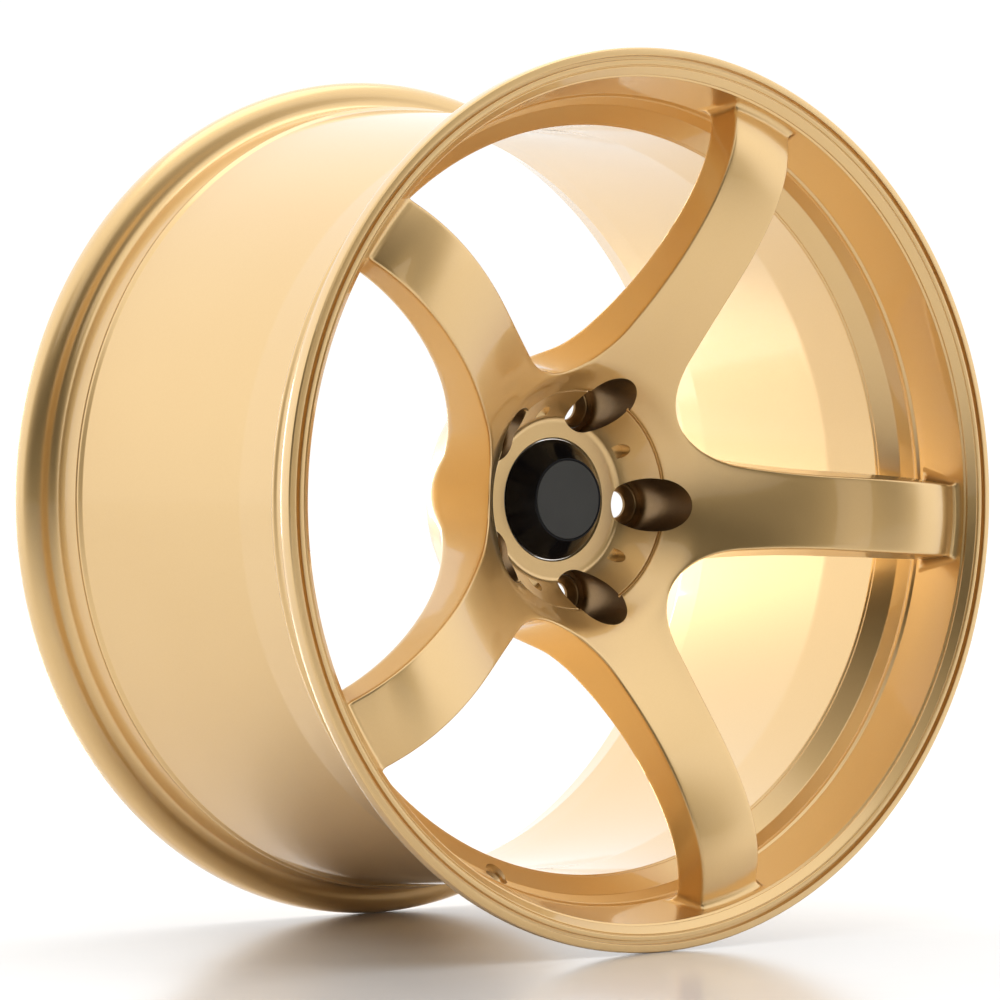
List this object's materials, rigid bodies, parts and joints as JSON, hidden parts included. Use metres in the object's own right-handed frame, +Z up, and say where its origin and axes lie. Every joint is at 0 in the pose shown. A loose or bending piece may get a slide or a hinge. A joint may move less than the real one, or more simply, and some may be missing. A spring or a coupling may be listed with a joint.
{
  "type": "racing wheel rim",
  "caption": "Forged concave racing wheel rim with arched spokes, a stepped lip, deep bolt pockets and a pull-off centre cap.",
  "frame": {"origin": "centre of the wheel: on its axis, midway between the outer faces of the two flanges", "axes": "+Y along the wheel's axis to the inboard side, the wheel's face looks along -Y, +Z up as it stands on its flanges"},
  "size_m": [0.522, 0.288, 0.522],
  "materials": {
    "gold_alloy": "metallic gold lacquer, glossy",
    "seat_alloy": "machined, dark gold",
    "cap_black": "high gloss",
    "emblem_charcoal": "satin",
    "spring_steel": "bright wire"
  },
  "bodies": {
    "wheel": {"front_flange": "gold_alloy", "front_bead_seat": "gold_alloy", "drop_centre": "gold_alloy", "barrel": "gold_alloy", "rear_bead_seat": "gold_alloy", "rear_flange": "gold_alloy", "hub": "gold_alloy", "spoke_1": "gold_alloy", "spoke_2": "gold_alloy", "spoke_3": "gold_alloy", "spoke_4": "gold_alloy", "spoke_5": "gold_alloy", "bolt_seat_1": "seat_alloy", "bolt_seat_2": "seat_alloy", "bolt_seat_3": "seat_alloy", "bolt_seat_4": "seat_alloy", "bolt_seat_5": "seat_alloy"},
    "centre_cap": {"cap_body": "cap_black", "cap_emblem": "emblem_charcoal", "cap_spring_ring": "spring_steel"}
  },
  "joints": [
    {"name": "cap_pull", "type": "slide", "parent": "wheel", "child": "centre_cap", "axis": [0, -1, 0], "range_m": [0, 0.09]}
  ]
}
